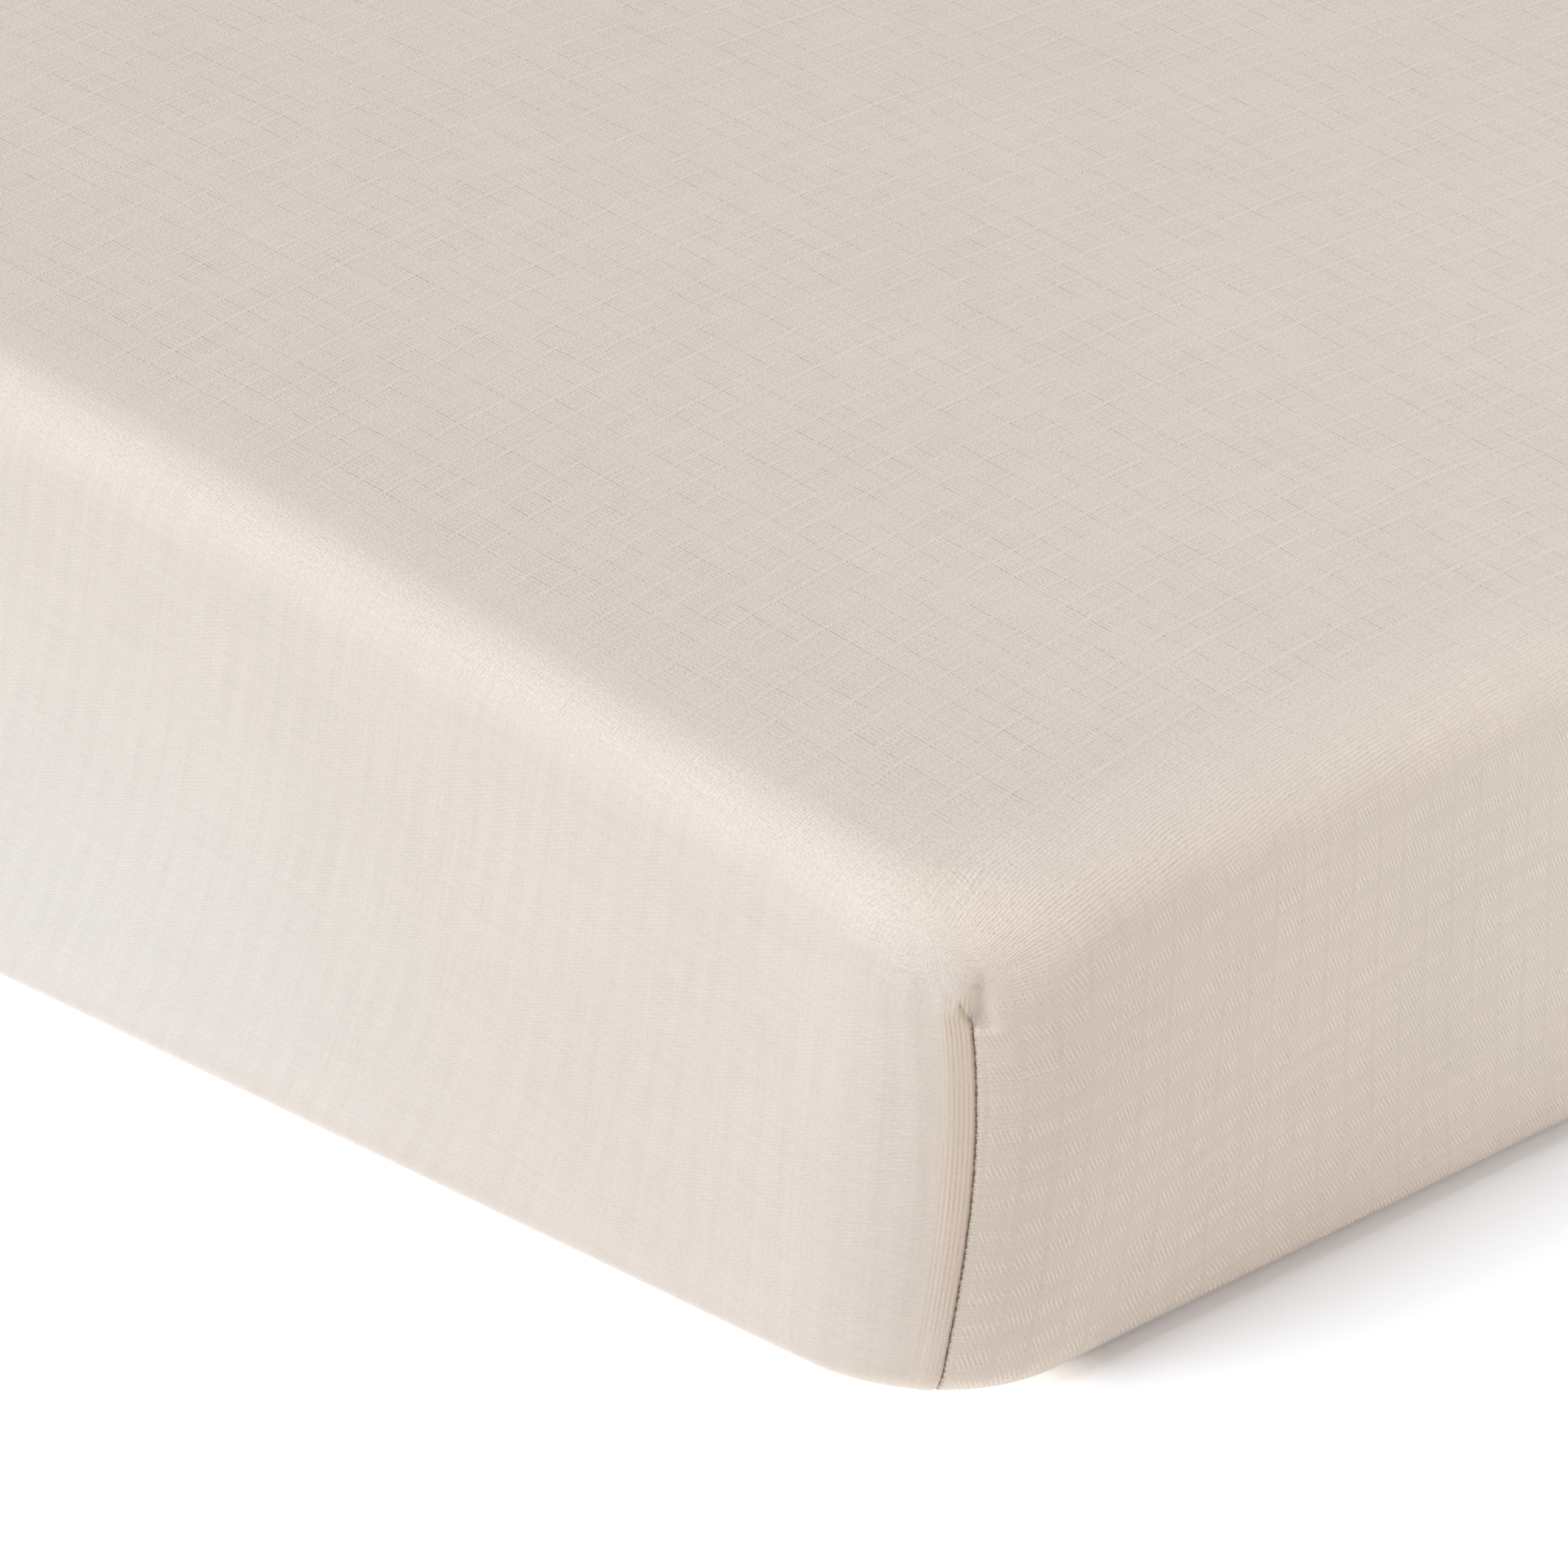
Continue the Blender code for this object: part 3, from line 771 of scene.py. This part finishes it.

# Painted shade: the seam's narrow gap, where the allowance turns in, is painted as a dark line of uneven
# width; its notches are the painted shadow of the fold's edge
notches = add_node(tree, "ShaderNodeTexNoise", {
    "Vector": corner_map, "Scale": 1000 / SEAM_NOTCH_MM, "Detail": 1.0,
}, noise_dimensions="2D")["Fac"]
notches = add_node(tree, "ShaderNodeMapRange", {
    "Value": notches, "From Min": 0.3, "From Max": 0.7, "To Min": 0.2, "To Max": 1.9,
})["Result"]
line_at = add_node(tree, "ShaderNodeMath", {0: away, 1: 1000 / SEAM_LINE_MM}, operation="MULTIPLY")[0]
line_at = add_node(tree, "ShaderNodeMath", {0: notches, 1: line_at}, operation="SUBTRACT")[0]
painted_seam_shade = add_node(tree, "ShaderNodeMapRange", {
    "Value": line_at, "From Min": -0.3, "From Max": 0.3,
}, interpolation_type="SMOOTHSTEP")["Result"]
painted_seam_shade = add_node(tree, "ShaderNodeMath", {0: painted_seam_shade, 1: zones["seam start"]}, operation="MULTIPLY")[0]
tone = add_node(tree, "ShaderNodeMix", {
    "Factor": painted_seam_shade, "A": tone, "B": linear(SEAM_SHADE),
}, data_type="RGBA")["Result"]
relief = add_node(tree, "ShaderNodeBump", {"Height": weave_height, "Distance": 0.001})["Normal"]
tree.links.new(tone, muslin_shader.inputs["Base Color"])
tree.links.new(relief, muslin_shader.inputs["Normal"])
sheet_mesh.materials.append(muslin)
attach(sheet, "root")
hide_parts("fitted_sheet")


# ---- Sewing: each corner seam's thread crosses it in short bars, and a straight line holds the hem ----
# A stitch is a small spindle of thread that lies half sunk in the cloth.
SEAM_STITCH_EVERY = 0.0013
SEAM_STITCH_LENGTH = 0.0008
SEAM_STITCH_WIDTH = 0.00024
SEAM_STITCH_RUN = 0.0003  # to the end's side of the seam
HEM_STITCH_EVERY = 0.0028
HEM_STITCH_LENGTH = 0.0023
HEM_STITCH_WIDTH = 0.00019
HEM_STITCH_INSET = 0.013
STITCH_UNEVENNESS = 0.25
STITCH_SEED = 7
SEWING_THREAD_SAND = "#d6cabd"

# Spun cotton sewing thread: matt, in the cloth's own sand
thread, thread_shader = new_finish("cotton_sewing_thread", roughness=0.85)
thread_shader.inputs["Base Color"].default_value = linear(SEWING_THREAD_SAND)


def spaced(paths, spacing):
    """Points at even spacing along the first of some paths, and those beside them on the others."""
    gaps = np.linalg.norm(np.diff(paths[0], axis=0), axis=1)
    reached = np.concatenate([[0.0], np.cumsum(gaps)])
    wanted = np.arange(spacing / 2, reached[-1], spacing)
    return [
        np.column_stack([np.interp(wanted, reached, path[:, axis]) for axis in range(3)])
        for path in paths
    ]


def sewn(name, places, along, out, length, width):
    """A mesh of stitches at these places. Their lengths lie along one direction, and they face out."""
    tree = bpy.data.node_groups.new(name + "_stitches", "GeometryNodeTree")
    sockets = {}
    for socket, kind, value in (
        ("Geometry", "Geometry", None),
        ("Length", "Float", length),
        ("Width", "Float", width),
        ("Material", "Material", thread),
    ):
        made = tree.interface.new_socket(socket, in_out="INPUT", socket_type="NodeSocket" + kind)
        sockets[socket] = (made, value)
    tree.interface.new_socket("Geometry", in_out="OUTPUT", socket_type="NodeSocketGeometry")
    given = add_node(tree, "NodeGroupInput")
    turn = None
    for axis, attribute in (("Z", "along"), ("X", "out")):
        aim = add_node(tree, "GeometryNodeInputNamedAttribute", {
            "Name": attribute,
        }, data_type="FLOAT_VECTOR")["Attribute"]
        aims = {"Vector": aim}
        if turn:
            aims["Rotation"] = turn
        pivot = "Z" if turn else "AUTO"
        turn = add_node(
            tree, "FunctionNodeAlignRotationToVector", aims, axis=axis, pivot_axis=pivot)["Rotation"]
    unevenness = add_node(tree, "FunctionNodeRandomValue", {
        "Min": 1 - STITCH_UNEVENNESS, "Max": 1 + STITCH_UNEVENNESS, "Seed": STITCH_SEED,
    })
    uneven_length = next(socket for socket in unevenness if socket.enabled)
    stitch_length = add_node(tree, "ShaderNodeMath", {
        0: given["Length"], 1: uneven_length,
    }, operation="MULTIPLY")[0]
    size = add_node(tree, "ShaderNodeCombineXYZ", {
        "X": given["Width"], "Y": given["Width"], "Z": stitch_length,
    })["Vector"]
    spindle = add_node(tree, "GeometryNodeMeshUVSphere", {"Segments": 6, "Rings": 5, "Radius": 0.5})["Mesh"]
    placed = add_node(tree, "GeometryNodeInstanceOnPoints", {
        "Points": given["Geometry"], "Instance": spindle, "Rotation": turn, "Scale": size,
    })["Instances"]
    real = add_node(tree, "GeometryNodeRealizeInstances", {"Geometry": placed})["Geometry"]
    finished = add_node(tree, "GeometryNodeSetMaterial", {
        "Geometry": real, "Material": given["Material"],
    })["Geometry"]
    add_node(tree, "NodeGroupOutput", {"Geometry": finished})

    points_mesh = bpy.data.meshes.new(name + "_places")
    points_mesh.from_pydata(places.tolist(), [], [])
    for attribute, values in (("along", along), ("out", out)):
        layer = points_mesh.attributes.new(attribute, "FLOAT_VECTOR", "POINT")
        layer.data.foreach_set("vector", values.astype(np.float32).ravel())
    holder = bpy.data.objects.new(name + "_places", points_mesh)
    scene.collection.objects.link(holder)
    modifier = holder.modifiers.new("stitches", "NODES")
    modifier.node_group = tree
    for socket, value in sockets.values():
        if value is not None:
            modifier[socket.identifier] = value
    evaluated = holder.evaluated_get(bpy.context.evaluated_depsgraph_get())
    stitches_mesh = bpy.data.meshes.new_from_object(evaluated)
    stitches_mesh.name = name
    stitches_mesh.shade_smooth()
    bpy.data.objects.remove(holder)
    stitches = bpy.data.objects.new(name, stitches_mesh)
    scene.collection.objects.link(stitches)
    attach(stitches, "root")
    return stitches


def direction(vectors):
    """The vectors at a length of one."""
    return vectors / np.linalg.norm(vectors, axis=1)[:, None]


seam_rows = np.flatnonzero(below[:, 0] > SEAM_START)
seam_rows = seam_rows[seam_rows < len(outer) - HEM_ROWS - 2]
places = []
along = []
out = []
for corner_line in (0, long_count, long_count + end_count, 2 * long_count + end_count):
    end_wards = 1 if line_runs[corner_line + 1] > 0 else -1
    across = [outer[seam_rows, (corner_line + end_wards * step) % count] for step in (0, -1, 2)]
    on_seam, to_side, to_end = spaced(across, SEAM_STITCH_EVERY)
    over = direction(to_end - to_side)
    down = direction(np.gradient(on_seam, axis=0))
    facing = np.cross(over, down)
    facing *= np.sign((facing[:, :2] * on_seam[:, :2]).sum(1))[:, None]
    places.append((to_side + to_end) / 2 + over * SEAM_STITCH_RUN)
    along.append(over)
    out.append(facing)
sewn("corner_seam_stitches", np.vstack(places), np.vstack(along), np.vstack(out),
     SEAM_STITCH_LENGTH, SEAM_STITCH_WIDTH)

turned_in = outer[-1 - HEM_ROWS]
opening = outer[-1]
share = HEM_STITCH_INSET / np.linalg.norm(turned_in - opening, axis=1)
hem_line = opening + (turned_in - opening) * share[:, None]
hem_places = spaced([np.vstack([hem_line, hem_line[:1]])], HEM_STITCH_EVERY)[0]
hem_along = direction(np.roll(hem_places, -1, axis=0) - np.roll(hem_places, 1, axis=0))
sewn("hem_stitches", hem_places, hem_along, np.tile([[0.0, 0.0, -1.0]], (len(hem_places), 1)),
     HEM_STITCH_LENGTH, HEM_STITCH_WIDTH)


# ---- Floor and light: white studio paper, soft daylight from the front left, a warm reflector ----
# A softbox lights the end from its far side, and a low strip lifts the foot of the long side.
FLOOR_HALF = 40.0
FLOOR_LEVEL = -0.0002  # just under the hem
floor_corners = [
    (x * FLOOR_HALF, y * FLOOR_HALF, FLOOR_LEVEL) for x, y in ((-1, -1), (1, -1), (1, 1), (-1, 1))
]
floor_mesh = bpy.data.meshes.new("floor")
floor_mesh.from_pydata(floor_corners, [], [(0, 1, 2, 3)])
floor = bpy.data.objects.new("floor", floor_mesh)
scene.collection.objects.link(floor)
# White seamless paper: matt. All over, it glows faintly blue: painted light that lifts and cools the
# shadow beside the end. Along the foot of the front it glows white: painted light that takes out the
# contact shadow, so that it stays white beside the cloth there
FLOOR_GLOW = "#1b2c3a"
FOOT_PAINTED_GLOW = "#e1e1e1"
FOOT_REACH = 0.008
FOOT_FADE = (-0.246, -0.277)  # the foot's painted glow comes in between these places along Y
white, white_shader = new_finish("white_studio_floor", roughness=1.0)
white_shader.inputs["Base Color"].default_value = linear("#f9f9fa")
white_shader.inputs["Specular IOR Level"].default_value = 0.0
white_shader.inputs["Emission Strength"].default_value = 1.0
tree = white.node_tree
place = add_node(tree, "ShaderNodeTexCoord")["Object"]
beyond = add_node(tree, "ShaderNodeVectorMath", {0: place}, operation="ABSOLUTE")["Vector"]
beyond = add_node(tree, "ShaderNodeVectorMath", {
    0: beyond, 1: (HALF_LENGTH - CORNER_RADIUS, HALF_WIDTH - CORNER_RADIUS, 1.0),
}, operation="SUBTRACT")["Vector"]
beyond = add_node(tree, "ShaderNodeVectorMath", {
    0: beyond, 1: (0.0, 0.0, 0.0),
}, operation="MAXIMUM")["Vector"]
beyond = add_node(tree, "ShaderNodeVectorMath", {0: beyond}, operation="LENGTH")["Value"]
beside = add_node(tree, "ShaderNodeMapRange", {
    "Value": beyond, "From Min": CORNER_RADIUS + FOOT_REACH, "From Max": CORNER_RADIUS - FOOT_REACH / 2,
}, interpolation_type="SMOOTHSTEP")["Result"]
forward = add_node(tree, "ShaderNodeSeparateXYZ", {"Vector": place})["Y"]
forward = add_node(tree, "ShaderNodeMapRange", {
    "Value": forward, "From Min": FOOT_FADE[0], "From Max": FOOT_FADE[1],
}, interpolation_type="SMOOTHSTEP")["Result"]
# Where the painted white glow lies: beside the foot of the cloth, on its front only
foot = add_node(tree, "ShaderNodeMath", {0: beside, 1: forward}, operation="MULTIPLY")[0]
glow = add_node(tree, "ShaderNodeMix", {
    "Factor": foot, "A": linear(FLOOR_GLOW), "B": linear(FOOT_PAINTED_GLOW),
}, data_type="RGBA")["Result"]
tree.links.new(glow, white_shader.inputs["Emission Color"])
floor_mesh.materials.append(white)

# The room's soft light reaches the cloth, and behind everything the picture stays white
ROOM_LIGHT = 0.371
world = bpy.data.worlds.new("white_studio")
world.use_nodes = True
scene.world = world
tree = world.node_tree
room = tree.nodes["Background"]
room.inputs["Color"].default_value = (1.0, 1.0, 1.0, 1.0)
room.inputs["Strength"].default_value = ROOM_LIGHT
backdrop = add_node(tree, "ShaderNodeBackground", {
    "Color": (1.0, 1.0, 1.0, 1.0), "Strength": 1.0,
})["Background"]
seen = add_node(tree, "ShaderNodeLightPath")["Is Camera Ray"]
sky = add_node(tree, "ShaderNodeMixShader", {0: seen, 1: room.outputs["Background"], 2: backdrop})["Shader"]
tree.links.new(sky, tree.nodes["World Output"].inputs["Surface"])


def add_light(name, kind, energy, colour, towards):
    """A light that shines from the direction towards."""
    light = bpy.data.lights.new(name, kind)
    light.energy = energy
    light.color = linear(colour)[:3]
    made = bpy.data.objects.new(name, light)
    made.rotation_mode = "QUATERNION"
    made.rotation_quaternion = Vector(towards).to_track_quat("Z", "Y")
    scene.collection.objects.link(made)
    return made


STRIP_AWAY = 0.045
STRIP_HEIGHT = 0.028
add_light("window", "SUN", 3.477, "#eff7ff", (-0.17, -0.62, 0.68)).data.angle = math.radians(40)
add_light("reflector", "SUN", 0.591, "#ffb859", (0.9, 0.1, 0.42)).data.angle = math.radians(60)
softbox = add_light("softbox", "AREA", 1.75, "#dcf1fb", (0.4, 0.47, 0.05))
softbox.data.size = 0.3
softbox.location = (1.0, 0.26, 0.15)
softbox.visible_camera = False
strip = add_light("strip", "AREA", 0.040, "#9fdeff", (0.0, -1.0, 0.0))
strip.data.shape = "RECTANGLE"
strip.data.size = 0.90
strip.data.size_y = 0.02
strip.location = (0.0, -HALF_WIDTH - STRIP_AWAY, STRIP_HEIGHT)
strip.visible_camera = False
scene.view_settings.view_transform = "Standard"
